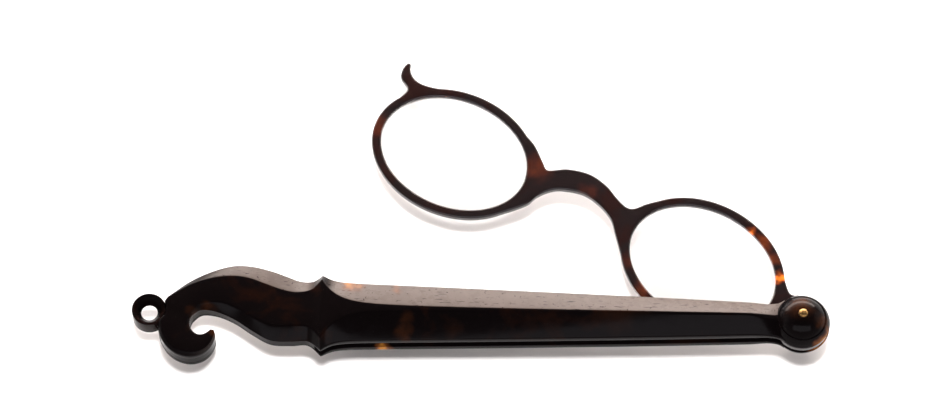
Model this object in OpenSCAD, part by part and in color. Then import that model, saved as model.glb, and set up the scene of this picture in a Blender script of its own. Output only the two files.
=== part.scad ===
// Folding lorgnette: a carved shell handle whose two cheeks close over a pivoting lens frame.
// The origin is the centre of the suspension ring, +X runs along the handle to the ball head,
// +Y is the side that the lenses open to, and +Z is the front of the handle.

/* [Lenses] */
// Width of a lens opening
lens_w = 36.3; // [32:0.1:39]
// Height of a lens opening
lens_h = 27.6; // [24:0.1:30]
// Thickness of a lens at its centre
lens_t = 1.6; // [1.3:0.1:1.8]
// Depth of the V groove that holds a lens
groove_d = 0.42; // [0.3:0.02:0.6]
// Play between a lens edge and its groove
lens_play = 0.04; // [0.02:0.01:0.08]

/* [Lens frame] */
// Width of the rims round the lenses
rim_w = 2.2; // [1.8:0.1:2.8]
// Thickness of the lens frame
frame_t = 2; // [1.8:0.1:2.6]
// Distance between the two lens centres
lens_pitch = 65; // [62:0.5:72]
// Height of the near lens centre above the axis of the closed handle
near_rise = 2.3; // [0:0.1:4]
// Droop of the near lens towards the pivot, in degrees
near_droop = 5.3; // [0:0.1:8]
// Height of the bridge arch above the axis of the closed handle
bridge_h = 10.5; // [8:0.1:13]
// Height of the nose opening under the bridge arch
nose_h = 5.2; // [3:0.1:6]
// Size of the finger hook on the far rim
hook_h = 6.4; // [4:0.1:8]
// Angle by which the frame stands open, in degrees
open_angle = 27.5; // [0:0.5:60]

/* [Handle] */
// Width of the case just behind the collar
case_w = 15; // [13:0.1:18]
// Width of the case where it meets the ball
neck_w = 7.9; // [7:0.1:9]
// Thickness of the case over its two ridges
case_t = 11.2; // [9.5:0.1:12]
// Height of the side wall of the case, both cheeks and the slot together
wall_t = 5.6; // [4.8:0.1:6.4]
// Height that the collar stands proud of the case on each side
collar_lip = 1.9; // [1:0.1:3]
// Clearance between the frame and each cheek
slot_play = 0.15; // [0.1:0.01:0.25]
// Clearance between the closed frame and the end of the slot
end_play = 0.6; // [0.3:0.1:1.5]
// Distance from the suspension ring to the collar
scroll_l = 40; // [36:0.5:46]
// Thickness of the scroll over its two faces
scroll_t = 6.4; // [5:0.1:7.4]
// Radius of the gap inside the curl
curl_gap_r = 3.3; // [2.8:0.1:3.8]

/* [Ball head and pivot] */
// Diameter of the ball head
ball_d = 13.4; // [12.6:0.1:15]
// Diameter of the raised dome at its base
dome_d = 10.6; // [9.6:0.1:11]
// Height of the base of the dome above the middle of the ball
dome_z = 3.65; // [3:0.05:4.2]
// Diameter of the pivot pin
pin_d = 1.6; // [1.2:0.1:2]
// Diameter of the peened pin heads
head_d = 2.3; // [2.1:0.1:3]
// Radial running clearance of the frame on the pin
pin_play = 0.04; // [0.02:0.01:0.08]
// Radial clearance of the pin in the two cheeks
pin_fit = 0.01; // [0:0.005:0.02]
// Radial clearance of the pin heads in their seats
head_play = 0.05; // [0.02:0.01:0.1]

/* [Suspension ring] */
// Outer diameter of the suspension ring
ring_d = 8; // [7:0.1:9]
// Diameter of the hole in the ring
ring_hole_d = 3.8; // [3:0.1:4.2]
// Thickness of the suspension ring
ring_t = 4.7; // [3.6:0.1:5.2]
// Width of the flat rim round the dished faces of the ring
ring_rim = 0.5; // [0.4:0.05:0.8]

/* [Hidden] */
$fn = 96;

// The frame in the closed handle, measured from the pivot
rim_a = lens_w / 2 + rim_w;
rim_b = lens_h / 2 + rim_w;
ball_r = ball_d / 2;
near_c = [-(ball_r + rim_a), near_rise];
far_c = [near_c[0] - sqrt(lens_pitch * lens_pitch - near_rise * near_rise), 0];
frame_reach = rim_a - far_c[0];

// The handle follows the closed frame
slot_half = frame_t / 2 + slot_play;
slot_reach = frame_reach + end_play;
collar_inset = 1.5;
case_l = slot_reach - collar_inset;
collar_x = scroll_l;
pivot_x = collar_x + case_l;

// Heights of the handle's front half
ridge_z = case_t / 2;
wall_z = wall_t / 2;
scroll_z = scroll_t / 2;
scroll_wall_z = slot_half + 0.25;
collar_drop = 1.3;

// The curl of the scroll turns round its gap while it widens from its tip to the ring
scroll_k = scroll_l / 40;
curl_c = [12.9, -3.1] * scroll_k;
curl_from = -44;
curl_turn = 172;
curl_tip_r = curl_gap_r + 1;
curl_tip_gap = 0.72;
curl_body_r = 10.8 * scroll_k;
curl_steps = 20;

// Points per oval and steps per spline stretch
oval_steps = 48;
spline_steps = 4;
eps = 0.01;

function lerp(a, b, t) = a + (b - a) * t;
function polar(c, r, ang) = c + r * [cos(ang), sin(ang)];
function smooth(t) = t <= 0 ? 0 : t >= 1 ? 1 : t * t * (3 - 2 * t);
function reverse(list) = [for (i = [len(list) - 1:-1:0]) list[i]];

// One stretch of a curve through points, for points of any dimension
function stretch(a, b, c, d, t) =
    0.5 * (2 * b + (c - a) * t + (2 * a - 5 * b + 4 * c - d) * t * t + (3 * b - a - 3 * c + d) * t * t * t);

// The curve through all points, without its last point
function curve(pts, steps) = [
    for (i = [0:len(pts) - 2], s = [0:steps - 1])
        stretch(pts[max(i - 1, 0)], pts[i], pts[i + 1], pts[min(i + 2, len(pts) - 1)], s / steps)
];

// A point on an oval with half axes a and b, tilted by tilt
function on_oval(c, a, b, tilt, ang) = [
    c[0] + a * cos(ang) * cos(tilt) - b * sin(ang) * sin(tilt),
    c[1] + a * cos(ang) * sin(tilt) + b * sin(ang) * cos(tilt)
];
function oval_arc(c, a, b, tilt, from, to, count) =
    [for (i = [0:count]) on_oval(c, a, b, tilt, lerp(from, to, i / count))];
function oval_loop(c, a, b, tilt) =
    [for (i = [0:oval_steps - 1]) on_oval(c, a, b, tilt, 360 * i / oval_steps)];

// A station of the handle: outer edge, inner edge, bevel widths at both, wall height, face height
function station(outer, inner, bevel_o, bevel_i, wall, face) =
    [outer[0], outer[1], inner[0], inner[1], bevel_o, bevel_i, wall, face];

function curl_station(t) = let (
        ang = curl_from - curl_turn * t,
        r = lerp(curl_tip_r, curl_body_r, 1 - exp(-pow(3.3 * t, 1.6))),
        gap = curl_gap_r * lerp(curl_tip_gap, 1, smooth(t / 0.45)),
        tip = sqrt(1 - pow(1 - min(t / 0.06, 1), 2)),
        mid = (r + gap) / 2,
        half = (r - gap) / 2 * max(tip, 0.25),
        bevel = 0.35 * tip + 0.05
    )
    station(polar(curl_c, mid + half, ang), polar(curl_c, mid - half, ang),
        bevel + 0.35 * sin(180 * t), bevel, lerp(scroll_z - 0.6, scroll_z - 1, t), scroll_z);

// The body of the scroll between the curl and the collar: edges and bevel widths
scroll_rows = [
    [[8.9, 7.2], [11.8, 0.1], 1.2, 0.8],
    [[13.7, 9.9], [13.7, 0.3], 2.2, 1.2],
    [[18.9, 11.7], [16.7, -0.4], 3.3, 2.0],
    [[23.5, 11.7], [20.3, -2.1], 3.7, 2.2],
    [[28.1, 10.6], [24.3, -4.8], 4.2, 2.5],
    [[31.9, 9.2], [28.5, -7.0], 4.2, 3.0],
    [[34.9, 8.1], [33.2, -7.2], 3.6, 3.3],
    [[37.8, 8.1], [37.1, -7.1], 2.9, 2.7]
];
scroll_body = [
    for (i = [0:len(scroll_rows) - 1])
        let (row = scroll_rows[i], t = i / len(scroll_rows))
        station(row[0] * scroll_k, row[1] * scroll_k, row[2] * scroll_k, row[3] * scroll_k,
            lerp(scroll_z - 1.3, scroll_wall_z, smooth(3 * t)),
            lerp(scroll_z, ridge_z - collar_drop, pow(t, 6)))
];

// The case: half width, half width of the flat facet, wall and face heights at a distance from the collar
neck_l = 13;
neck_face_z = 3.4;
function case_half(d) = let (u = max(1 - d / (case_l - 8), 0), lip = sqrt(d * d + 0.4) - sqrt(0.4))
    lerp(neck_w, case_w, pow(u, 0.85)) / 2 + collar_lip * exp(-lip / 2)
    + 0.7 * exp((d - case_l + 4.8) / 1.4);
function flat_half(d) = 0.22 + 1.0 * exp(-d / 22) + (case_half(0) - 3.2) * exp(-d / 3.6);
function neck_drop(d) = smooth((d - case_l + neck_l) / (neck_l - 5));
function case_station(d) = station(
    [collar_x + d, case_half(d)], [collar_x + d, -case_half(d)],
    case_half(d) - flat_half(d) * lerp(1, 3, neck_drop(d)),
    case_half(d) - flat_half(d) * lerp(1, 3, neck_drop(d)),
    wall_z - 0.8 * exp(-d / 3) - (wall_z - slot_half - 0.6) * neck_drop(d) * 0.6,
    lerp(ridge_z - collar_drop * exp(-d / 4), neck_face_z, neck_drop(d)));

case_steps = [
    0, 0.5, 1.1, 1.8, 2.6, 3.6, 4.8, 6.4, 8.5, 11.5, 16, 22, 30, 42, 56, 70, 84
];
neck_steps = [16, 13, 11.5, 10.2, 9, 8, 7.2, 6.5, 5.9, 5.3, 4.7, 4];
case_part = [
    for (d = case_steps) if (d < case_l - neck_steps[0]) case_station(d),
    for (n = neck_steps) case_station(case_l - n)
];

curl_part = [for (i = [0:curl_steps - 1]) curl_station(i / curl_steps)];
scroll_part = curve(concat([curl_station(1)], scroll_body, [case_station(0)]), spline_steps);
handle_stations = concat(curl_part, scroll_part, case_part);
spacer_stations = concat(curl_part, scroll_part, [case_station(0), case_station(collar_inset)]);

function edge_outer(s) = [s[0], s[1]];
function edge_inner(s) = [s[2], s[3]];
function inward(s) = let (v = edge_inner(s) - edge_outer(s)) v / norm(v);
function up(p, z) = [p[0], p[1], z];

// The six corners of the front cheek at one station
function cheek_section(s) = let (v = inward(s)) [
    up(edge_inner(s), slot_half),
    up(edge_inner(s), s[6]),
    up(edge_inner(s) - v * s[5], s[7]),
    up(edge_outer(s) + v * s[4], s[7]),
    up(edge_outer(s), s[6]),
    up(edge_outer(s), slot_half)
];

// A solid skinned over sections that have the same number of corners
module skin(sections) {
    n = len(sections[0]);
    m = len(sections);
    sides = [
        for (i = [0:m - 2], j = [0:n - 1])
            let (k = (j + 1) % n) [i * n + j, i * n + k, (i + 1) * n + k, (i + 1) * n + j]
    ];
    ends = [[for (j = [n - 1:-1:0]) j], [for (j = [0:n - 1]) (m - 1) * n + j]];
    polyhedron(points = [for (s = sections) each s], faces = concat(sides, ends), convexity = 8);
}

dome_z0 = let (h = ball_r - dome_z) dome_z + h - (dome_d * dome_d / 4 + h * h) / (2 * h);
dome_r = ball_r - dome_z0;
head_top = ball_r + 0.25;
seat_z = ball_r - 0.35;
head_h = 0.42;

module ball_half() {
    intersection() {
        sphere(ball_r);
        translate([-ball_r, -ball_r, slot_half]) cube([ball_d, ball_d, dome_z - slot_half]);
    }
    intersection() {
        translate([0, 0, dome_z0]) sphere(dome_r);
        translate([-ball_r, -ball_r, slot_half + 1]) cube([ball_d, ball_d, ball_r]);
    }
}

// The ring stands in a round notch of the two cheeks, and its faces are dished down to a short hole
ring_r = ring_d / 2;
ring_half = ring_t / 2;
ring_flat = 0.3;
ring_edge = 0.25;
ring_fit = 0.02;

module cheek() {
    difference() {
        union() {
            skin([for (s = handle_stations) cheek_section(s)]);
            translate([pivot_x, 0, 0]) ball_half();
        }
        cylinder(r = ring_r + ring_fit, h = scroll_t);
        translate([pivot_x, 0, 0]) cylinder(r = pin_d / 2 + pin_fit, h = ball_d);
        translate([pivot_x, 0, seat_z]) cylinder(r = head_d / 2 + head_play, h = ball_r);
    }
}

module front_cheek() {
    color("#2a1410") cheek();
}

module back_cheek() {
    color("#3a1c12") mirror([0, 0, 1]) cheek();
}

module ring() {
    hole = ring_hole_d / 2;
    rim = ring_r - ring_rim;
    rotate_extrude() polygon([
        [hole, -ring_flat], [rim, -ring_half], [ring_r - ring_edge, -ring_half],
        [ring_r, ring_edge - ring_half], [ring_r, ring_half - ring_edge],
        [ring_r - ring_edge, ring_half], [rim, ring_half], [hole, ring_flat]
    ]);
}

module spacer_and_ring() {
    color("#33180f") {
        difference() {
            translate([0, 0, -slot_half]) linear_extrude(2 * slot_half) polygon(concat(
                [for (s = spacer_stations) edge_outer(s)],
                reverse([for (s = spacer_stations) edge_inner(s)])));
            translate([pivot_x, 0, -slot_half - 1])
                cylinder(r = slot_reach, h = 2 * slot_half + 2, $fn = 360);
            translate([0, 0, -slot_half - 1]) cylinder(r = ring_r - ring_rim, h = 2 * slot_half + 2);
        }
        ring();
    }
}

// The outline of the lens frame, anticlockwise, in the closed handle and measured from the pivot
tongue_r = ball_r - 0.3;
gap_left = far_c[0] + rim_a;
gap_right = near_c[0] - rim_a;
function in_gap(f, y) = [lerp(gap_left, gap_right, f), y];
function on_bridge(f, h) = in_gap(f, h * bridge_h);
function in_nose(f, h) = in_gap(f, h * nose_h);
function on_hook(proud, ang) = let (k = 1 + proud * hook_h / 6.4)
    on_oval(far_c, rim_a * k, rim_b * k, 0, ang);
function near_outer(from, to, count) = oval_arc(near_c, rim_a, rim_b, -near_droop, from, to, count);
function far_outer(from, to, count) = oval_arc(far_c, rim_a, rim_b, 0, from, to, count);
function at_tongue(ang, proud) = polar([0, 0], tongue_r + proud, ang);

nose_curve = curve([
    far_outer(327, 327, 1)[0], in_gap(-0.03, -5.9), in_gap(0.055, -3.2), in_nose(0.1, -0.06),
    in_nose(0.19, 0.48), in_nose(0.3, 0.78), in_nose(0.48, 1), in_nose(0.66, 0.87),
    in_nose(0.83, 0.5), in_nose(0.95, -0.1),
    near_outer(212, 212, 1)[0]
], spline_steps);
bridge_curve = curve([
    near_outer(148, 148, 1)[0], in_gap(1.06, 9.9), on_bridge(0.985, 0.73), on_bridge(0.91, 0.67),
    on_bridge(0.79, 0.76), on_bridge(0.635, 0.925), on_bridge(0.435, 1), on_bridge(0.225, 0.88),
    on_bridge(0.09, 0.68), on_bridge(0.035, 0.645), in_gap(-0.03, 8), in_gap(-0.18, 10.9),
    far_outer(50, 50, 1)[0]
], spline_steps);
hook_curve = curve([
    far_outer(122, 122, 1)[0], on_hook(0.022, 128), on_hook(0.09, 134.4), on_hook(0.18, 137.2),
    on_hook(0.276, 137.4), on_hook(0.346, 136.5), on_hook(0.395, 135.4), on_hook(0.417, 135.6),
    on_hook(0.427, 136.5), on_hook(0.408, 138.4), on_hook(0.355, 141.1), on_hook(0.281, 143.8),
    on_hook(0.217, 144.9), on_hook(0.152, 144.7), on_hook(0.1, 144.7), on_hook(0.054, 146.1),
    on_hook(0.022, 149.3), far_outer(155, 155, 1)[0]
], spline_steps);
tongue_curve = curve([
    near_outer(340, 340, 1)[0], [-(ball_r - 0.3), -5], at_tongue(236, 0)
], spline_steps);
shoulder_curve = curve([
    at_tongue(112, 0), at_tongue(122, 0.75), at_tongue(131, 0.95), [-(ball_r - 0.5), 5.8],
    near_outer(28, 28, 1)[0]
], spline_steps);
frame_outline = concat(
    far_outer(155, 325, 24), nose_curve, near_outer(214, 338, 18), tongue_curve,
    [for (i = [0:20]) at_tongue(lerp(240, 470, i / 20), 0)], shoulder_curve,
    near_outer(32, 146, 18), bridge_curve, far_outer(52, 120, 10), hook_curve);

half_t = frame_t / 2;

// The V edge of a lens sits in a square groove half way up the wall of its opening
groove_half = 0.4;
groove_k = groove_d / (lens_h / 2);

module in_frame() {
    translate([pivot_x, 0, 0]) rotate(-open_angle) children();
}

module oval_area(c, tilt, k) {
    round_k = k / cos(180 / oval_steps);
    polygon(oval_loop(c, round_k * lens_w / 2, round_k * lens_h / 2, tilt));
}

module groove(c, tilt) {
    translate([0, 0, -groove_half]) linear_extrude(2 * groove_half) oval_area(c, tilt, 1 + groove_k);
}

module lens_frame() {
    color("#4a1e12") in_frame() difference() {
        translate([0, 0, -half_t]) linear_extrude(frame_t) difference() {
            polygon(frame_outline);
            oval_area(far_c, 0, 1);
            oval_area(near_c, -near_droop, 1);
        }
        groove(far_c, 0);
        groove(near_c, -near_droop);
        translate([0, 0, -frame_t]) cylinder(r = pin_d / 2 + pin_play, h = 2 * frame_t);
    }
}

// A lens: an oval edge with a V bevel, cut by its two curved faces
edge_half = groove_half - 0.05;
play_k = lens_play / (lens_h / 2);

// A round lens blank with two curved faces, from which the oval lens is cut
blank_r = lens_w / 2 + 1;
blank_steps = 10;
function blank_z(x) = edge_half + (lens_t / 2 - edge_half) * (1 - x * x / (blank_r * blank_r));
module lens_blank() {
    steps = [for (i = [0:blank_steps]) blank_r * i / blank_steps];
    rotate_extrude() polygon(concat(
        [for (x = steps) [x, -blank_z(x)]], reverse([for (x = steps) [x, blank_z(x)]])));
}

module lens_edge() {
    wall = 1 - play_k;
    rotate_extrude() polygon([
        [0, -lens_t], [wall, -lens_t], [wall, -groove_half], [wall + groove_k, 0],
        [wall, groove_half], [wall, lens_t], [0, lens_t]
    ]);
}

module lens(c, tilt) {
    in_frame() intersection() {
        translate([c[0], c[1], 0]) rotate(tilt) scale([lens_w / 2, lens_h / 2, 1]) lens_edge();
        translate([c[0], c[1], 0]) lens_blank();
    }
}

module near_lens() {
    color("#dfe8e6", 0.35) lens(near_c, -near_droop);
}

module far_lens() {
    color("#dfe8e6", 0.35) lens(far_c, 0);
}

module pin_head() {
    head_r = (head_d * head_d / 4 + head_h * head_h) / (2 * head_h);
    intersection() {
        translate([0, 0, seat_z]) cylinder(d = head_d, h = head_top - seat_z);
        translate([0, 0, head_top - head_r]) sphere(head_r);
    }
}

module pivot_pin() {
    color("#c8964a") translate([pivot_x, 0, 0]) {
        translate([0, 0, -seat_z]) cylinder(d = pin_d, h = 2 * seat_z);
        pin_head();
        mirror([0, 0, 1]) pin_head();
    }
}

front_cheek();
back_cheek();
spacer_and_ring();
lens_frame();
near_lens();
far_lens();
pivot_pin();
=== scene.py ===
import math

import bmesh
import bpy
from mathutils import Matrix, Vector


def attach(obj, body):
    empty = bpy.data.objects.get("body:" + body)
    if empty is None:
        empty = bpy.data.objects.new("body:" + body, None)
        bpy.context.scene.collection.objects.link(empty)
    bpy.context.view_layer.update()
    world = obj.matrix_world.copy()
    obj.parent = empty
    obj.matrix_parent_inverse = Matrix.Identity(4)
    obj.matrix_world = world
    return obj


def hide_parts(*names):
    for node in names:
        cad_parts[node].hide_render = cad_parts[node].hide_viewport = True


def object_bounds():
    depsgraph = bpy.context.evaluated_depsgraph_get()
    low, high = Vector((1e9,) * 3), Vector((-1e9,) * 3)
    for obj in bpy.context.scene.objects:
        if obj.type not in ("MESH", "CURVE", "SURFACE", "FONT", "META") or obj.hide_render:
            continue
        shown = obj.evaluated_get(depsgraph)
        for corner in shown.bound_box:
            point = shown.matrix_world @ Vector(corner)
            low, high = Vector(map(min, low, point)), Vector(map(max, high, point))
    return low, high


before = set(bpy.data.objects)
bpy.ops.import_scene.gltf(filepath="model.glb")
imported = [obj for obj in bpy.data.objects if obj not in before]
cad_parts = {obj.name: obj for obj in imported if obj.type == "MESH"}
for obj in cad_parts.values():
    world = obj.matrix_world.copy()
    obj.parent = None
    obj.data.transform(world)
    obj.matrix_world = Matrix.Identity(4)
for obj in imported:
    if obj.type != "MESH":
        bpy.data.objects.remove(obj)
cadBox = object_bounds()
print("frame loaded,", len(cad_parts), "nodes,", [round(v * 1000, 1) for corner in cadBox for v in corner])

mm = 0.001
pivotX = 151.4593    # mm from the suspension ring, which is the origin
weld = 1e-4          # mm, points closer than this become one
sharpAngle = 32      # degrees, from which an arris stays sharp in the shading


# curves and meshes

def lerp(a, b, t):
    return a + (b - a) * t


def smooth(t):
    t = min(max(t, 0.0), 1.0)
    return t * t * (3 - 2 * t)


def polar(centre, radius, angle):
    a = math.radians(angle)
    return Vector((centre[0] + radius * math.cos(a), centre[1] + radius * math.sin(a)))


def through(points, steps):
    # points along a smooth curve through the given ones, without the last
    out = []
    for i in range(len(points) - 1):
        a, b = points[max(i - 1, 0)], points[i]
        c, d = points[i + 1], points[min(i + 2, len(points) - 1)]
        for s in range(steps):
            t = s / steps
            out.append([0.5 * (2 * q + (r - p) * t + (2 * p - 5 * q + 4 * r - u) * t * t
                               + (3 * q - p - 3 * r + u) * t ** 3) for p, q, r, u in zip(a, b, c, d)])
    return out


def roundCorners(points, radii, steps):
    # a section with its corners replaced by small arcs
    out = []
    count = len(points)
    for i, point in enumerate(points):
        before = points[(i - 1) % count] - point
        after = points[(i + 1) % count] - point
        start = point + before.normalized() * min(radii[i], before.length * 0.45)
        end = point + after.normalized() * min(radii[i], after.length * 0.45)
        for s in range(steps + 1):
            t = s / steps
            out.append(start * (1 - t) ** 2 + point * 2 * t * (1 - t) + end * t * t)
    return out


wornSheenSet = {
    "from": 9, "over": 14,                          # mm from the ring, where the wear and its painted sheen set in on the scroll
    "scroll": 0.85, "caseFrom": 34, "caseOver": 8,  # the scroll gets less wear and painted sheen than the case
    "collar": 39.9, "collarHalf": 2.7,              # the collar gets neither wear nor painted sheen
}


def wornSheenAt(x):
    w = wornSheenSet
    start = smooth((x - w["from"]) / w["over"])
    level = lerp(w["scroll"], 1, smooth((x - w["caseFrom"]) / w["caseOver"]))
    return start * level * (1 - math.exp(-((x - w["collar"]) / w["collarHalf"]) ** 4))


def loft(bm, sections, wornSheen):
    # a grid bent round the sections, closed along its seam and at both ends; the worn columns get the haze of wear
    # and painted sheen
    across, along = len(sections[0]), len(sections)
    haze = bm.verts.layers.float.new("haze")
    grid = bmesh.ops.create_grid(bm, x_segments=across, y_segments=along - 1, size=1)["verts"]
    for i, vert in enumerate(grid):
        row, col = divmod(i, across + 1)
        vert.co = sections[row][col % across]
        vert[haze] = wornSheenAt(vert.co.x) if col % across in wornSheen else 0.0
    bmesh.ops.remove_doubles(bm, verts=grid, dist=weld)
    edges = [e for e in bm.edges if e.is_boundary]
    bmesh.ops.holes_fill(bm, edges=edges, sides=0)
    bmesh.ops.recalc_face_normals(bm, faces=bm.faces)


def turned(bm, profile, steps):
    # a closed profile of (radius, height) spun round the Z axis
    verts = [bm.verts.new((r, 0, z)) for r, z in profile]
    edges = [bm.edges.new((verts[i], verts[(i + 1) % len(verts)])) for i in range(len(verts))]
    bmesh.ops.spin(bm, geom=verts + edges, cent=(0, 0, 0), axis=(0, 0, 1), angle=math.tau,
                   steps=steps, use_merge=True)
    bmesh.ops.remove_doubles(bm, verts=bm.verts, dist=weld)
    bmesh.ops.recalc_face_normals(bm, faces=bm.faces)


def arc(centreZ, radius, fromR, toR, steps):
    # part of a sphere's outline above its centre, between two distances from the axis
    out = []
    a, b = math.asin(fromR / radius), math.asin(toR / radius)
    for s in range(steps + 1):
        t = lerp(a, b, s / steps)
        out.append((radius * math.sin(t), centreZ + radius * math.cos(t)))
    return out


def join(bm, make):
    # a second closed form, made on its own and added to the piece
    part = bmesh.new()
    make(part)
    mesh = bpy.data.meshes.new("part")
    part.to_mesh(mesh)
    part.free()
    bm.from_mesh(mesh)
    bpy.data.meshes.remove(mesh)


def finishPiece(bm, name, body, material, replaced):
    bmesh.ops.scale(bm, vec=(mm, mm, mm), verts=bm.verts)
    mesh = bpy.data.meshes.new(name)
    bm.to_mesh(mesh)
    bm.free()
    mesh.polygons.foreach_set("use_smooth", [True] * len(mesh.polygons))
    mesh.set_sharp_from_angle(angle=math.radians(sharpAngle))
    mesh.materials.append(material)
    obj = bpy.data.objects.new(name, mesh)
    bpy.context.scene.collection.objects.link(obj)
    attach(obj, body)
    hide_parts(*replaced)
    return obj


# materials

class Shade:
    # a material's node tree, with sockets that can be added and multiplied
    def __init__(self, name):
        self.material = bpy.data.materials.new(name)
        self.material.use_nodes = True
        self.tree = self.material.node_tree
        self.tree.nodes.clear()
        self.out = self.tree.nodes.new("ShaderNodeOutputMaterial")

    def node(self, kind, settings=None, result=0, **values):
        n = self.tree.nodes.new("ShaderNode" + kind)
        for key, value in (settings or {}).items():
            if key == "stops":
                ramp = n.color_ramp
                while len(ramp.elements) < len(value):
                    ramp.elements.new(0.5)
                for element, (place, colour) in zip(ramp.elements, value):
                    element.position = place
                    element.color = (*colour, 1)
            else:
                setattr(n, key, value)
        for key, value in values.items():
            spot = int(key[1:]) if key[1:].isdigit() else key.replace("_", " ")
            sock = n.inputs[spot]
            if isinstance(value, Sock):
                self.tree.links.new(value.socket, sock)
            else:
                sock.default_value = value
        return Sock(self, n.outputs[result])

    def place(self):
        return self.node("TexCoord", result="Object")

    def noise(self, vector, scale, detail=2.0, roughness=0.5, distortion=0.0):
        return self.node("TexNoise", Vector=vector, Scale=scale, Detail=detail,
                         Roughness=roughness, Distortion=distortion)

    def ramp(self, fac, stops):
        return self.node("ValToRGB", {"stops": stops}, Fac=fac)

    def mix(self, fac, a, b):
        return self.node("Mix", {"data_type": "RGBA"}, result=2, i0=fac, i6=a, i7=b)

    def near(self, vector, centre, radius, core):
        # 1 close to a point given in mm, falling to 0 from the core's share of the radius to the radius itself
        gap = self.node("VectorMath", {"operation": "DISTANCE"}, result="Value",
                        i0=vector, i1=tuple(c * mm for c in centre))
        return self.node("MapRange", {"interpolation_type": "SMOOTHSTEP"}, Value=gap,
                         From_Min=radius * core * mm, From_Max=radius * mm, To_Min=1.0, To_Max=0.0)

    def surface(self, **values):
        shader = self.node("BsdfPrincipled", **values)
        self.tree.links.new(shader.socket, self.out.inputs["Surface"])
        return self.material


class Sock:
    # one socket; + - * and ** add Math nodes
    def __init__(self, shade, socket):
        self.shade = shade
        self.socket = socket

    def maths(self, operation, a, b, clamp=False):
        return self.shade.node("Math", {"operation": operation, "use_clamp": clamp}, i0=a, i1=b)

    def __add__(self, other):
        return self.maths("ADD", self, other)

    def __radd__(self, other):
        return self.maths("ADD", other, self)

    def __sub__(self, other):
        return self.maths("SUBTRACT", self, other)

    def __rsub__(self, other):
        return self.maths("SUBTRACT", other, self)

    def __mul__(self, other):
        return self.maths("MULTIPLY", self, other)

    def __pow__(self, other):
        return self.maths("POWER", self, other)

    def clamped(self):
        return self.maths("MULTIPLY", self, 1.0, clamp=True)


black, white, pitted = (0, 0, 0), (1, 1, 1), (0.05, 0.05, 0.05)

shellLook = {
    "dark": (0.0038, 0.0026, 0.0027),
    "brown": (0.011, 0.0042, 0.0027),
    "amber": (0.17, 0.05, 0.013),
    # the orange is painted glow: base colour at the spots' cores and the colour of their emitted light
    "glowOrange": (0.36, 0.14, 0.022),
    # the grey of the worn facet is dull wear and a painted sheen in one
    "wornSheen": (0.104, 0.083, 0.074),
    "clouds": (0.60, 0.74),          # noise values between which the brown comes in
    "core": 0.15,                    # share of a spot's radius that has its full strength
    "glowOrangeFrom": 0.55,
    "stray": 0.0045,                 # m, how far the outlines of the spots wander
    "ragged": 1.3,
    "roughness": 0.14,
    "dull": 0.16,                    # roughness that wear adds
    "ior": 1.11,                     # low, so that the walls over the bright floor stay dark
    "scratchDepth": 0.000006,
    "speck": 0.2,
    "streaks": (((0, 0, 0.7), (0.18, 1.6, 1.0)), ((0, 0, -0.35), (0.12, 1.4, 1.0))),    # turn, stretch
    # noise scales per metre
    "cloudScale": 85, "fineScale": 420, "wobbleScale": 230, "strayScale": 260,
    "scratchScale": 2600, "pitScale": 1100, "streakScale": 1900, "speckScale": 1500,
}
frameLook = dict(
    shellLook, dark=(0.0155, 0.0100, 0.0100), brown=(0.020, 0.0075, 0.0065), amber=(0.13, 0.015, 0.007),
    glowOrange=(0.95, 0.20, 0.02), roughness=0.18, ior=1.42, scratchDepth=0.0000015, speck=0.02)


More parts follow.
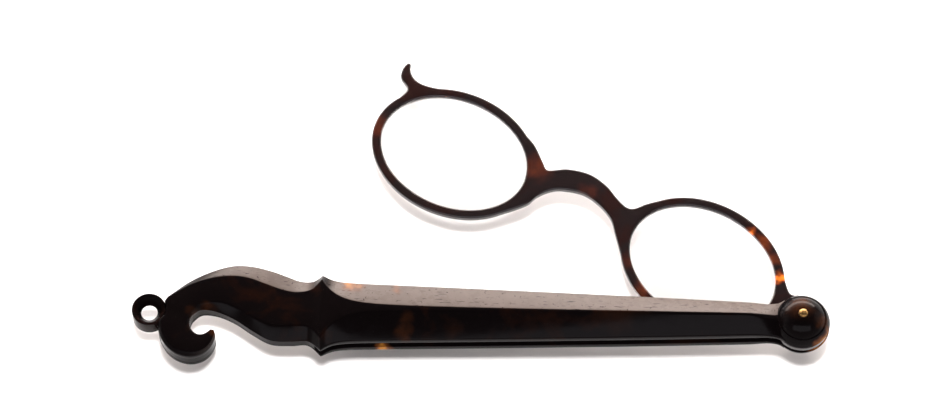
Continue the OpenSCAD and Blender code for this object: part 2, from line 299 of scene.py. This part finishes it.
def shell(name, spots=(), blotch=0.0, seed=0.0, look=shellLook, glow=0.0):
    # polished tortoiseshell: near black, with brown clouds, and amber where the spots are; the spots also carry
    # painted light, a glow as if light shone through the thin shell
    s = Shade(name)
    place = s.place()
    shifted = s.node("Mapping", Vector=place, Location=(seed, seed * 0.7, seed * 1.3))
    cloud = s.noise(shifted, look["cloudScale"], 4, 0.55, 0.6)
    fine = s.noise(shifted, look["fineScale"], 3, 0.6, 0.2)
    brownFrom, brownTo = look["clouds"]
    brownness = s.ramp(cloud + fine * 0.16, [(brownFrom - blotch, black), (brownTo - blotch, white)])
    colour = s.mix(brownness, (*look["dark"], 1), (*look["brown"], 1))
    wobble = s.noise(shifted, look["wobbleScale"], 3, 0.6, 0.8) - 0.5
    values, edge = {}, 0.0
    if spots:
        push = s.node("TexNoise", result="Color", Vector=shifted, Scale=look["strayScale"], Detail=2.0)
        start = s.node("VectorMath", {"operation": "SUBTRACT"}, i0=place, i1=(look["stray"] / 2,) * 3)
        warped = s.node("VectorMath", {"operation": "MULTIPLY_ADD"}, i0=push, i1=(look["stray"],) * 3, i2=start)
        amberGlowSum = 0.0
        for centre, radius, strength in spots:
            amberGlowSum = s.near(warped, centre, radius, look["core"]) * strength + amberGlowSum
        edge = (amberGlowSum + wobble * look["ragged"] * amberGlowSum).clamped()
        colour = s.mix(edge, colour, (*look["amber"], 1))
        glowCore = s.node("MapRange", Value=edge, From_Min=look["glowOrangeFrom"], From_Max=1.0)
        colour = s.mix(glowCore, colour, (*look["glowOrange"], 1))
        # painted glow: the spots emit light, standing in for light shining through the thin shell
        paintedGlow = s.mix(edge ** 1.5, (*black, 1), (*look["glowOrange"], 1))
        values = dict(Emission_Color=paintedGlow, Emission_Strength=glow)
    # wear and a painted sheen lie on the facet like a grey bloom, but not in its pits and streaks
    pits = s.ramp(s.noise(place, look["pitScale"], 3, 0.6, 0.4), [(0.31, pitted), (0.35, white)])
    for turn, stretch in look["streaks"]:
        streak = s.noise(s.node("Mapping", Vector=place, Rotation=turn, Scale=stretch), look["streakScale"], 2, 0.5)
        pits = pits * s.ramp(streak, [(0.285, pitted), (0.32, white)])
    haze = s.node("Attribute", {"attribute_name": "haze"}, result="Fac") * (0.85 + wobble * 0.3) * pits
    colour = s.mix(haze * (1 - edge * 0.6), colour, (*look["wornSheen"], 1))
    speck = s.ramp(s.noise(place, look["speckScale"], 1, 0.5), [(0.70, black), (0.76, white)])
    rough = s.node("MapRange", Value=fine, From_Min=0.3, From_Max=0.7,
                   To_Min=look["roughness"] - 0.05, To_Max=look["roughness"] + 0.06)
    scratch = s.noise(s.node("Mapping", Vector=place, Scale=(0.25, 1.6, 1.0)), look["scratchScale"], 2, 0.6)
    bump = s.node("Bump", Height=scratch + speck * (look["speck"] * 4), Distance=look["scratchDepth"], Strength=0.45)
    return s.surface(Base_Color=colour, Roughness=rough + speck * look["speck"] + haze * look["dull"],
                     Normal=bump, IOR=look["ior"], **values)


brassLook = {
    "bright": (0.40, 0.235, 0.085),
    "grime": (0.21, 0.115, 0.04),
    "rimDark": (0.025, 0.012, 0.006),   # darker round the rims of both heads
    "headZ": 6.9,                    # mm
    "darkFrom": 1.14,                   # mm from the middle of a head to where it turns dark
    "roughness": 0.30,
    "dentDepth": 0.00012,
}


def brass():
    look = brassLook
    s = Shade("giltBrass")
    place = s.place()
    dents = s.noise(place, 1400, 2, 0.5, 0.3)
    grime = s.ramp(s.noise(place, 2400, 2, 0.6), [(0.42, black), (0.6, white)])
    colour = s.mix(grime, (*look["grime"], 1), (*look["bright"], 1))
    front, back = (s.near(place, (pivotX, 0, side * look["headZ"]), look["darkFrom"], 0.8) for side in (1, -1))
    colour = s.mix(front + back, (*look["rimDark"], 1), colour)
    bump = s.node("Bump", Height=dents, Distance=look["dentDepth"], Strength=0.8)
    return s.surface(Base_Color=colour, Metallic=1.0, Roughness=dents * 0.3 + look["roughness"], Normal=bump)


def glass():
    # clear spectacle glass, here and there smeared; the alpha lets the white of the floor through
    s = Shade("lensGlass")
    smear = s.noise(s.place(), 90, 3, 0.6, 0.5)
    rough = s.node("MapRange", Value=smear, From_Min=0.45, From_Max=0.75, To_Min=0.0, To_Max=0.02)
    return s.surface(Base_Color=(0.985, 0.99, 0.985, 1), Roughness=rough, IOR=1.5,
                     Transmission_Weight=1.0, Alpha=0.45)


# the handle

handleSet = {
    "length": 40.0,          # from the suspension ring to the collar
    "caseWidth": 15.0,
    "neckWidth": 7.9,
    "ridge": 5.6,            # height of the case over the middle plane
    "wall": 2.8,
    "slotHalf": 1.15,
    "collarLip": 1.9,
    "collarDrop": 1.3,
    "scroll": 3.2,
    "caseLength": 111.4593,
    "edge": 0.32,            # size of the rounded arrises
    "seam": 0.07,
}
curlSet = {
    "centre": (12.9, -3.1),
    "from": -44, "turn": 172,            # degrees, from the tip to the scroll
    "tip": 4.3, "body": 10.8,            # outer radius at both ends
    "grow": 3.3, "growPower": 1.6,
    "gap": 3.3, "tipGap": 0.72, "gapUntil": 0.45,
    "round": 0.06, "roundLeast": 0.25,   # the rounding of the tip
    "bevel": 0.35, "bevelLeast": 0.05,
    "wall": (0.6, 1),                    # how far the wall's arris lies under the face, at both ends
    "steps": 84,
}
# along the scroll: the upper and lower outline, the width of the bevel at each
scrollRows = [
    ((8.9, 7.2), (11.8, 0.1), 1.2, 0.8),
    ((13.7, 9.9), (13.7, 0.3), 2.2, 1.2),
    ((18.9, 11.7), (16.7, -0.4), 3.3, 2.0),
    ((23.5, 11.7), (20.3, -2.1), 3.7, 2.2),
    ((28.1, 10.6), (24.3, -4.8), 4.2, 2.5),
    ((31.9, 9.2), (28.5, -7.0), 4.2, 3.0),
    ((34.9, 8.1), (33.2, -7.2), 3.6, 3.3),
    ((37.8, 8.1), (37.1, -7.1), 2.9, 2.7),
]
scrollSet = {"steps": 9, "wallDrop": 1.3, "wallOver": 0.25, "wallPace": 3, "risePower": 6}
caseSet = {
    "taperEnd": 8, "taperPower": 0.85,
    "lipSoft": 0.4, "lipReach": 2,
    "flare": 0.7, "flareFrom": 4.8, "flareReach": 1.4,     # where the neck runs into the ball
    "flat": 0.22, "flatReach": 22,                         # half the flat on the ridge
    "collarBevel": 3.2, "collarReach": 3.6,
    "dropReach": 4,
    "wallDrop": 0.8, "wallReach": 3, "neckWall": 0.6,
    "neckFrom": 13, "neckOver": 8, "neckFlat": 3, "neckFace": 3.4,
}
# sections of the case, in mm from the collar and, at the neck, before the pivot
caseRows = [0, 0.15, 0.35, 0.6, 0.9, 1.3, 1.8, 2.4, 3.2, 4.2, 5.4, 6.8,
            8.5, 10.5, 13, 16, 20, 25, 31, 38, 46, 56, 68, 82]
neckRows = [16, 14.5, 13, 12, 11.2, 10.5, 9.8, 9.2, 8.6, 8, 7.5, 7, 6.5, 6.1, 5.7, 5.3, 4.9, 4.5, 4]


# a station is the outline on both sides, the width of both bevels, the height of the walls and that of the face

def curlStation(t):
    c, top = curlSet, handleSet["scroll"]
    angle = c["from"] - c["turn"] * t
    r = lerp(c["tip"], c["body"], 1 - math.exp(-(c["grow"] * t) ** c["growPower"]))
    gap = c["gap"] * lerp(c["tipGap"], 1, smooth(t / c["gapUntil"]))
    tip = math.sqrt(1 - (1 - min(t / c["round"], 1)) ** 2)
    middle, half = (r + gap) / 2, (r - gap) / 2 * max(tip, c["roundLeast"])
    outer, inner = polar(c["centre"], middle + half, angle), polar(c["centre"], middle - half, angle)
    bevel = c["bevel"] * tip + c["bevelLeast"]
    return [*outer, *inner, bevel + c["bevel"] * math.sin(math.pi * t), bevel,
            lerp(top - c["wall"][0], top - c["wall"][1], t), top]


def caseHalf(d):
    c = caseSet
    u = max(1 - d / (handleSet["caseLength"] - c["taperEnd"]), 0)
    lip = math.sqrt(d * d + c["lipSoft"]) - math.sqrt(c["lipSoft"])
    return (lerp(handleSet["neckWidth"], handleSet["caseWidth"], u ** c["taperPower"]) / 2
            + handleSet["collarLip"] * math.exp(-lip / c["lipReach"])
            + c["flare"] * math.exp((d - handleSet["caseLength"] + c["flareFrom"]) / c["flareReach"]))


def flatHalf(d):
    c = caseSet
    return (c["flat"] + math.exp(-d / c["flatReach"])
            + (caseHalf(0) - c["collarBevel"]) * math.exp(-d / c["collarReach"]))


def caseStation(d):
    c, h = caseSet, handleSet
    neck = smooth((d - h["caseLength"] + c["neckFrom"]) / c["neckOver"])
    bevel = caseHalf(d) - flatHalf(d) * lerp(1, c["neckFlat"], neck)
    wall = (h["wall"] - c["wallDrop"] * math.exp(-d / c["wallReach"])
            - (h["wall"] - h["slotHalf"] - c["neckWall"]) * neck * c["neckWall"])
    face = lerp(h["ridge"] - h["collarDrop"] * math.exp(-d / c["dropReach"]), c["neckFace"], neck)
    x = h["length"] + d
    return [x, caseHalf(d), x, -caseHalf(d), bevel, bevel, wall, face]


def handleStations():
    h, c = handleSet, scrollSet
    body = []
    for i, (outer, inner, bevelOut, bevelIn) in enumerate(scrollRows):
        t = i / len(scrollRows)
        wall = lerp(h["scroll"] - c["wallDrop"], h["slotHalf"] + c["wallOver"], smooth(c["wallPace"] * t))
        face = lerp(h["scroll"], h["ridge"] - h["collarDrop"], t ** c["risePower"])
        body.append([*outer, *inner, bevelOut, bevelIn, wall, face])
    curl = [curlStation(i / curlSet["steps"]) for i in range(curlSet["steps"])]
    scroll = through([curlStation(1)] + body + [caseStation(0)], c["steps"])
    case = [caseStation(d) for d in caseRows] + [caseStation(h["caseLength"] - n) for n in neckRows]
    return curl, scroll, case


ringSet = {
    "radius": 4.0, "hole": 1.9, "half": 2.35,
    "rim": 0.5, "flat": 0.3,   # the flat rim, and half the straight part of the hole
    "edge": 0.28,
    "play": 0.02,              # between the ring and the notch in the curl
    "root": 3.2,               # the plate between the cheeks reaches into the ring up to this radius
    "steps": 112,
}


def clearOfRing(p, v, r=ringSet["radius"] + ringSet["play"]):
    # the curl gives way to the ring, which stands in a round notch
    if p.length >= r:
        return p
    along = p.dot(v)
    return p + v * (math.sqrt(along ** 2 - p.length_squared + r * r) - along)


def cheekSection(s):
    outer, inner = Vector(s[0:2]), Vector(s[2:4])
    v = (inner - outer).normalized()
    low = handleSet["slotHalf"]
    corners = [
        (clearOfRing(outer, v), low), (clearOfRing(outer, v), s[6]), (clearOfRing(outer + v * s[4], v), s[7]),
        (inner - v * s[5], s[7]), (inner, s[6]), (inner, low),
    ]
    seam, edge = handleSet["seam"], handleSet["edge"]
    return roundCorners([Vector((p.x, p.y, z)) for p, z in corners], [seam, edge, edge, edge, edge, seam], 3)


headSet = {
    "radius": 6.7,
    "domeBase": 5.3, "domeZ": 3.65,              # the inner dome stands in a fine groove
    "bore": 0.81, "seat": 1.2, "seatZ": 6.35,    # the pin's heads are let into round seats
    "groove": 0.12, "soft": 0.03,
    "steps": 112,
}


def ballProfile():
    b = headSet
    radius, groove, soft, seat, low = b["radius"], b["groove"], b["soft"], b["seat"], handleSet["slotHalf"]
    rise = radius - b["domeZ"]
    domeZ = radius - (b["domeBase"] ** 2 + rise ** 2) / (2 * rise)
    side = arc(0, radius, math.sqrt(radius ** 2 - b["domeZ"] ** 2), math.sqrt(radius ** 2 - (low + 0.1) ** 2), 22)
    dome = arc(domeZ, radius - domeZ, seat + groove, b["domeBase"], 30)
    top = dome[0][1]
    return ([(b["bore"], low), (side[-1][0] - 0.1, low)] + side[::-1]
            + [(b["domeBase"] + groove, b["domeZ"] - 0.02), (b["domeBase"] + soft, b["domeZ"] + soft)] + dome[::-1]
            + [(seat + soft, top - soft), (seat, top - groove), (seat, b["seatZ"]), (b["bore"], b["seatZ"])])


def buildCheek(name, side, material):
    bm = bmesh.new()
    turned(bm, ballProfile(), headSet["steps"])
    bmesh.ops.translate(bm, vec=(pivotX, 0, 0), verts=bm.verts)
    curl, scroll, case = handleStations()
    sections = [cheekSection(s) for s in curl + scroll + case]
    # points 6 to 9 of a section span the upper facet, which is dull with wear and painted with a light sheen
    join(bm, lambda part: loft(part, sections, wornSheen=range(6, 10)))
    if side < 0:
        bmesh.ops.scale(bm, vec=(1, 1, -1), verts=bm.verts)
        bmesh.ops.reverse_faces(bm, faces=bm.faces)
    return finishPiece(bm, name, "handle", material[1], [name.replace("Look", "")])


# the plate between the cheeks, with the ring on its end

def ringProfile():
    # a thick ring with rounded arrises, both faces dished down to a short hole
    r, half = ringSet["radius"], ringSet["half"]
    rim, hole, flat, edge = r - ringSet["rim"], ringSet["hole"], ringSet["flat"], ringSet["edge"]
    turn = [math.radians(90 * i / 6) for i in range(7)]
    side = [(r - edge * (1 - math.cos(a)), half - edge * (1 - math.sin(a))) for a in turn]
    upper = [(r, 0.2)] + side + [(rim + 0.12, half), (rim + 0.03, half - 0.02), (rim - 0.05, half - 0.1),
                                 (hole + 0.12, flat + 0.12), (hole + 0.03, flat - 0.02), (hole, flat - 0.15)]
    return upper + [(x, -z) for x, z in upper[::-1]]


def buildSpacer(material):
    curl, scroll, _ = handleStations()
    rows = curl + scroll + [caseStation(0), caseStation(1.2)]
    low, inset = handleSet["slotHalf"], 0.05    # the plate stays just inside the outline of the cheeks
    reach = handleSet["caseLength"] + 1.5
    outer, inner = [], []
    for s in rows:
        a, b = Vector(s[0:2]), Vector(s[2:4])
        v = (b - a).normalized()
        for side, p in ((outer, clearOfRing(a + v * inset, v, ringSet["root"])), (inner, b - v * inset)):
            if (p - Vector((pivotX, 0))).length > reach - 0.02:
                side.append(p)
    # the end of the slot follows the far rim
    bend = []
    for i in range(1, 24):
        y = lerp(outer[-1].y, inner[-1].y, i / 24)
        bend.append(Vector((pivotX - math.sqrt(reach ** 2 - y * y), y)))
    bm = bmesh.new()
    face = bm.faces.new([bm.verts.new((p.x, p.y, -low)) for p in outer + bend + inner[::-1]])
    raised = bmesh.ops.extrude_face_region(bm, geom=[face])["geom"]
    bmesh.ops.translate(bm, vec=(0, 0, 2 * low), verts=[g for g in raised if isinstance(g, bmesh.types.BMVert)])
    bmesh.ops.recalc_face_normals(bm, faces=bm.faces)
    join(bm, lambda part: turned(part, ringProfile(), ringSet["steps"]))
    return finishPiece(bm, "spacerLook", "handle", material[1], ["spacer_and_ring"])


# the lens frame

lensSet = {
    "width": 36.3, "height": 27.6, "thickness": 1.6, "rimHalf": 0.35,
    "groove": 0.42, "play": 0.04,     # the V edge sinks this deep into the shell, and starts this far inside the rim
    "rim": 2.2, "half": 1.0, "edge": 0.55,
    "pitch": 65.0, "rise": 2.3,       # between the lens centres, and of the near one over the far one
    "droop": 5.3, "open": 27.5,       # degrees: the near rim's tilt, and the pose of the photo
    "bridge": 10.5, "nose": 5.2,      # heights of the bridge and of the nose arch
    "hole": 0.84, "tongueIn": 0.3,
    "steps": 120,
}
rimA, rimB = lensSet["width"] / 2 + lensSet["rim"], lensSet["height"] / 2 + lensSet["rim"]
nearCentre = Vector((-(headSet["radius"] + rimA), lensSet["rise"]))
farCentre = Vector((nearCentre.x - math.sqrt(lensSet["pitch"] ** 2 - lensSet["rise"] ** 2), 0))
inFrame = Matrix.Translation((pivotX, 0, 0)) @ Matrix.Rotation(math.radians(-lensSet["open"]), 4, "Z")


def onOval(centre, a, b, tilt, angle):
    t, g = math.radians(tilt), math.radians(angle)
    x, y = a * math.cos(g), b * math.sin(g)
    return Vector((centre.x + x * math.cos(t) - y * math.sin(t), centre.y + x * math.sin(t) + y * math.cos(t)))


def frameOutline():
    gapLeft, gapRight = farCentre.x + rimA, nearCentre.x - rimA
    tongue = headSet["radius"] - lensSet["tongueIn"]

    def gap(f, y):
        return Vector((lerp(gapLeft, gapRight, f), y))

    def bridge(f, h):
        return gap(f, h * lensSet["bridge"])

    def nose(f, h):
        return gap(f, h * lensSet["nose"])

    def hook(proud, angle):
        return onOval(farCentre, rimA * (1 + proud), rimB * (1 + proud), 0, angle)

    def near(angle):
        return onOval(nearCentre, rimA, rimB, -lensSet["droop"], angle)

    def far(angle):
        return onOval(farCentre, rimA, rimB, 0, angle)

    def run(point, start, end, count):
        return [point(lerp(start, end, i / count)) for i in range(count + 1)]

    def disc(angle, proud=0):
        return polar((0, 0), tongue + proud, angle)

    noseCurve = through([far(327), gap(-0.03, -5.9), gap(0.055, -3.2), nose(0.1, -0.06), nose(0.19, 0.48),
                         nose(0.3, 0.78), nose(0.48, 1), nose(0.66, 0.87), nose(0.83, 0.5), nose(0.95, -0.1),
                         near(212)], 8)
    bridgeCurve = through([near(148), gap(1.06, 9.9), bridge(0.985, 0.73), bridge(0.91, 0.67), bridge(0.79, 0.76),
                           bridge(0.635, 0.925), bridge(0.435, 1), bridge(0.225, 0.88), bridge(0.09, 0.68),
                           bridge(0.035, 0.645), gap(-0.03, 8), gap(-0.18, 10.9), far(50)], 8)
    hookCurve = through([far(122), hook(0.022, 128), hook(0.09, 134.4), hook(0.18, 137.2), hook(0.276, 137.4),
                         hook(0.346, 136.5), hook(0.395, 135.4), hook(0.417, 135.6), hook(0.427, 136.5),
                         hook(0.408, 138.4), hook(0.355, 141.1), hook(0.281, 143.8), hook(0.217, 144.9),
                         hook(0.152, 144.7), hook(0.1, 144.7), hook(0.054, 146.1), hook(0.022, 149.3), far(155)], 6)
    tongueCurve = through([near(340), Vector((-tongue, -5)), disc(236)], 8)
    shoulder = through([disc(112), disc(122, 0.75), disc(131, 0.95), Vector((0.5 - headSet["radius"], 5.8)),
                        near(28)], 8)
    return (run(far, 155, 325, 60) + noseCurve + run(near, 214, 338, 46) + tongueCurve + run(disc, 240, 470, 50)
            + shoulder + run(near, 32, 146, 46) + bridgeCurve + run(far, 52, 120, 26) + hookCurve)


def buildFrame(material):
    bm = bmesh.new()
    half, edge, count = lensSet["half"], lensSet["edge"], lensSet["steps"]
    loops = [[Vector(p) for p in frameOutline()]]
    for centre, tilt in ((farCentre, 0), (nearCentre, -lensSet["droop"])):
        loops.append([onOval(centre, lensSet["width"] / 2, lensSet["height"] / 2, tilt, i * 360 / count)
                      for i in range(count)])
    loops.append([polar((0, 0), lensSet["hole"], i * 360 / 32) for i in range(32)])
    edges = []
    for loop in loops:
        verts = [bm.verts.new((p[0], p[1], edge - half)) for p in loop]
        edges += [bm.edges.new((verts[i - 1], verts[i])) for i in range(len(verts))]
    bmesh.ops.triangle_fill(bm, use_beauty=True, use_dissolve=False, edges=edges, normal=(0, 0, 1))
    raised = bmesh.ops.extrude_face_region(bm, geom=list(bm.faces))["geom"]
    upper = [g for g in raised if isinstance(g, bmesh.types.BMVert)]
    bmesh.ops.translate(bm, vec=(0, 0, 2 * (half - edge)), verts=upper)
    bmesh.ops.recalc_face_normals(bm, faces=bm.faces)
    # both faces step inwards as they rise, which rounds every edge
    steps = 4
    for sign in (1, -1):
        for s in range(steps):
            a, b = math.radians(90 * s / steps), math.radians(90 * (s + 1) / steps)
            flat = [f for f in bm.faces if f.normal.z * sign > 0.999 and f.calc_center_median().z * sign > 0]
            bmesh.ops.inset_region(bm, faces=flat, thickness=edge * (math.cos(a) - math.cos(b)),
                                   depth=edge * (math.sin(b) - math.sin(a)), use_even_offset=True, use_boundary=True)
            bm.normal_update()
    bmesh.ops.transform(bm, matrix=inFrame, verts=bm.verts)
    obj = finishPiece(bm, "lensFrameLook", "frame", material[1], ["lens_frame"])
    obj.modifiers.new("even", "WEIGHTED_NORMAL").keep_sharp = True
    return obj


def buildLens(name, centre, tilt, material, node):
    # a round blank with two curved faces, edged to an oval with a V bevel
    bm = bmesh.new()
    rimZ, crown, blank = lensSet["rimHalf"], lensSet["thickness"] / 2, lensSet["width"] / 2 + 1
    play = lensSet["play"] / (lensSet["height"] / 2)
    vee = lensSet["groove"] / (lensSet["height"] / 2)
    rings = 14
    half = [((1 - play) * i / rings, 1) for i in range(1, rings + 1)]
    profile = [(0, 1)] + half + [(1 - play + vee, 0)] + [(r, -1) for r, _ in half[::-1]] + [(0, -1)]
    verts = [bm.verts.new((r, 0, z)) for r, z in profile]
    edges = [bm.edges.new((verts[i], verts[i + 1])) for i in range(len(verts) - 1)]
    bmesh.ops.spin(bm, geom=verts + edges, cent=(0, 0, 0), axis=(0, 0, 1), angle=math.tau, steps=128, use_merge=True)
    bmesh.ops.remove_doubles(bm, verts=bm.verts, dist=weld)
    bmesh.ops.scale(bm, vec=(lensSet["width"] / 2, lensSet["height"] / 2, 1), verts=bm.verts)
    for v in bm.verts:
        dist = math.hypot(v.co.x, v.co.y)
        v.co.z *= rimZ + (crown - rimZ) * (1 - dist * dist / blank ** 2)
    bmesh.ops.recalc_face_normals(bm, faces=bm.faces)
    bmesh.ops.transform(bm, matrix=inFrame @ Matrix.Translation((centre.x, centre.y, 0))
                        @ Matrix.Rotation(math.radians(tilt), 4, "Z"), verts=bm.verts)
    return finishPiece(bm, name, "frame", material[1], [node])


pinSet = {"radius": 0.8, "head": 1.15, "seatZ": 6.35, "top": 6.95, "crown": 0.42, "soft": 0.04, "steps": 48}


def buildPin(material):
    bm = bmesh.new()
    p = pinSet
    dome = (p["head"] ** 2 + p["crown"] ** 2) / (2 * p["crown"])
    cap = arc(p["top"] - dome, dome, 0.02, p["head"] - p["soft"], 7)
    half = [(p["radius"], p["seatZ"]), (p["head"], p["seatZ"]), (p["head"], cap[-1][1] - p["soft"])] + cap[::-1]
    turned(bm, half + [(r, -z) for r, z in half[::-1]], p["steps"])
    bmesh.ops.translate(bm, vec=(pivotX, 0, 0), verts=bm.verts)
    return finishPiece(bm, "pinLook", "handle", material[1], ["pivot_pin"])


# put together

def onFrame(x, y):
    # a place on the frame's face, from the pivot and with the frame straight
    p = inFrame @ Vector((x, y, 0.6))
    return (p.x, p.y, p.z)


# amber spots, which also carry painted glow and painted glints: place in mm, radius in mm, strength
frontSpots = [
    # these two paint warm glints of light on the worn facet
    ((46.9, 7.7, 4.2), 4.6, 0.9),
    ((57.6, 6.6, 4.2), 3.0, 0.6),
    ((59.8, -2.4, 4.6), 2.8, 0.09),
    ((59.3, -5.6, 3.4), 2.4, 0.10),
    ((71.1, -4.6, 3.8), 3.0, 0.04),
    ((108.0, 0.3, 4.6), 6.5, 0.065),
    ((113.7, 3.3, 5.0), 5.5, 0.06),
    ((10.0, -0.9, 2.0), 2.4, 0.15),
    ((13.7, 0.5, 2.0), 2.6, 0.11),
    ((15.3, -6.0, 3.0), 1.9, 0.22),
    ((156.0, -1.0, 4.4), 3.0, 0.16),
    ((151.2, 1.6, 6.3), 4.4, 0.12),
    ((151.2, 4.4, 4.8), 2.8, 0.12),
    # these two, and the last two at the back, paint the golden crescent of the ball as if lit through from behind
    ((pivotX + 5.9, -2.7, 1.0), 2.8, 0.66),
    ((pivotX + 4.3, -5.0, 0.7), 2.8, 0.66),
]
backSpots = [
    # paints the orange glow of light coming through the thin lower edge of the case
    ((54.9, -7.8, -1.8), 2.9, 1.5),
    ((pivotX + 5.9, -2.7, -1.8), 3.6, 0.62),
    ((pivotX + 4.3, -5.0, -2.0), 3.8, 0.62),
]
# on the frame the spots are red patches of the shell and also a painted glow of light through them
frameSpots = [
    (onFrame(-9.7, 7.8), 2.1, 1.25),
    (onFrame(-20.7, 15.5), 1.9, 0.95),
    (onFrame(-17.2, 13.7), 3.4, 0.42),
    (onFrame(-13.6, 11.3), 3.2, 0.40),
    (onFrame(-36.4, -10.6), 4.2, 0.26),
    (onFrame(-41.9, -5.0), 4.0, 0.12),
    (onFrame(-111.0, -2.0), 4.6, 0.22),
    (onFrame(-73.2, 5.6), 5.4, 0.21),
    (onFrame(-59.1, 6.5), 3.2, 0.14),
]

# glow sets how brightly the spots' painted light shines
shellFront = shell("shellFront", frontSpots, blotch=-0.06, seed=0.13, glow=0.10)
shellBack = shell("shellBack", backSpots, blotch=-0.02, seed=0.31, glow=0.10)
shellCore = shell("shellCore", seed=0.47)
shellFrame = shell("shellFrame", frameSpots, blotch=0.04, seed=0.59, look=frameLook, glow=0.55)
glassLook = glass()
print("materials made")

buildCheek("front_cheekLook", 1, ("shell_front", shellFront))
buildCheek("back_cheekLook", -1, ("shell_back", shellBack))
buildSpacer(("shell_core", shellCore))
print("handle made")
buildFrame(("shell_frame", shellFrame))
buildLens("nearLensLook", nearCentre, -lensSet["droop"], ("lens_glass", glassLook), "near_lens")
buildLens("farLensLook", farCentre, 0, ("lens_glass", glassLook), "far_lens")
buildPin(("pin_brass", brass()))
print("frame, lenses and pin made")


# floor, light and camera

stageSet = {
    "floorSize": 6.0,
    "floor": (0.80, 0.785, 0.785),
    "glow": 0.08,
    "lowest": cadBox[0][2] - 0.0002,    # m, just under the ball
    "touch": 46.0,           # where the case rests, in mm; the ball rests at the pivot
    "skyStrength": 0.8,
    "skyGreen": 0.99,
}
lean = (headSet["radius"] - handleSet["ridge"]) / (pivotX - stageSet["touch"])
bm = bmesh.new()
bmesh.ops.create_grid(bm, x_segments=1, y_segments=1, size=stageSet["floorSize"] / 2)
bmesh.ops.rotate(bm, cent=(0, 0, 0), matrix=Matrix.Rotation(math.atan(lean), 3, "Y"), verts=bm.verts)
bmesh.ops.translate(bm, vec=(pivotX * mm, 0.03, stageSet["lowest"]), verts=bm.verts)
floorMesh = bpy.data.meshes.new("floor")
bm.to_mesh(floorMesh)
bm.free()
floor = bpy.data.objects.new("floor", floorMesh)
bpy.context.scene.collection.objects.link(floor)
paper = Shade("paleFloor")
floorMesh.materials.append(paper.surface(Base_Color=(*stageSet["floor"], 1), Roughness=0.9, Specular_IOR_Level=0.1,
                                         Emission_Color=(1, 0.93, 0.90, 1), Emission_Strength=stageSet["glow"]))

world = bpy.data.worlds.new("studio")
bpy.context.scene.world = world
world.use_nodes = True
tree = world.node_tree
tree.nodes.clear()
coords = tree.nodes.new("ShaderNodeTexCoord")
split = tree.nodes.new("ShaderNodeSeparateXYZ")
sky = tree.nodes.new("ShaderNodeValToRGB")
# bright at the horizon and dark overhead, which keeps the flat faces black
stops = [(0.0, 1.0), (0.16, 0.9), (0.45, 0.42), (0.72, 0.16), (0.86, 0.07), (1.0, 0.04)]
while len(sky.color_ramp.elements) < len(stops):
    sky.color_ramp.elements.new(0.5)
for element, (place, level) in zip(sky.color_ramp.elements, stops):
    element.position = place
    element.color = (level, level * stageSet["skyGreen"], level, 1)
background = tree.nodes.new("ShaderNodeBackground")
background.inputs["Strength"].default_value = stageSet["skyStrength"]
worldOut = tree.nodes.new("ShaderNodeOutputWorld")
tree.links.new(coords.outputs["Generated"], split.inputs[0])
tree.links.new(split.outputs["Z"], sky.inputs["Fac"])
tree.links.new(sky.outputs["Color"], background.inputs["Color"])
tree.links.new(background.outputs[0], worldOut.inputs["Surface"])

lights = [
    # name, place, aim, width, height, power, colour
    ("topBox", (0.08, 0.13, 1.15), (0.08, 0.0, 0.0), 0.30, 0.20, 21.0, (1.0, 0.99, 0.98)),
    ("backLow", (0.03, 0.70, 0.085), (0.08, 0.0, 0.0), 1.3, 0.17, 16.0, (1.0, 0.90, 0.84)),
    ("backHigh", (0.03, 0.66, 0.27), (0.08, 0.0, 0.0), 1.3, 0.20, 3.0, (1.0, 0.985, 0.965)),
    ("frontCard", (0.08, -0.73, 0.68), (0.08, 0.0, 0.0), 1.6, 0.44, 8.0, (0.96, 0.93, 1.0)),
    ("leftBox", (-0.75, 0.15, 0.30), (0.08, 0.03, 0.0), 0.5, 0.4, 0.3, (1.0, 0.99, 0.98)),
    ("rightBox", (0.85, 0.2, 0.28), (0.08, 0.03, 0.0), 0.5, 0.4, 0.7, (0.98, 0.99, 1.0)),
]
for name, place, aim, width, height, power, colour in lights:
    data = bpy.data.lights.new(name, "AREA")
    data.shape, data.size, data.size_y, data.energy, data.color = "RECTANGLE", width, height, power, colour
    lamp = bpy.data.objects.new(name, data)
    lamp.location = place
    lamp.rotation_euler = (Vector(aim) - Vector(place)).to_track_quat("-Z", "Y").to_euler()
    bpy.context.scene.collection.objects.link(lamp)

# the top box lights only the paper, so that no glare lies on the polished faces, and the front card only the pieces,
# so that the shadow on the paper stays dark
paperOnly = bpy.data.collections.new("paperOnly")
paperOnly.objects.link(floor)
bpy.data.objects["topBox"].light_linking.receiver_collection = paperOnly
piecesOnly = bpy.data.collections.new("piecesOnly")
for piece in [o for o in bpy.context.scene.objects if o.type == "MESH" and o is not floor]:
    piecesOnly.objects.link(piece)
bpy.data.objects["frontCard"].light_linking.receiver_collection = piecesOnly

cameraSet = {"place": (0.0833, -0.4005, 0.9026), "aim": (0.0751, 0.0299, 0.0), "lens": 161.05}
cameraData = bpy.data.cameras.new("camera")
cameraData.lens, cameraData.sensor_width = cameraSet["lens"], 36.0
cameraData.clip_start, cameraData.clip_end = 0.01, 20.0
camera = bpy.data.objects.new("camera", cameraData)
camera.location = cameraSet["place"]
camera.rotation_euler = (Vector(cameraSet["aim"]) - Vector(cameraSet["place"])).to_track_quat("-Z", "Y").to_euler()
bpy.context.scene.collection.objects.link(camera)
bpy.context.scene.camera = camera
bpy.context.scene.view_settings.view_transform = "Standard"
print("stage, lights and camera set")
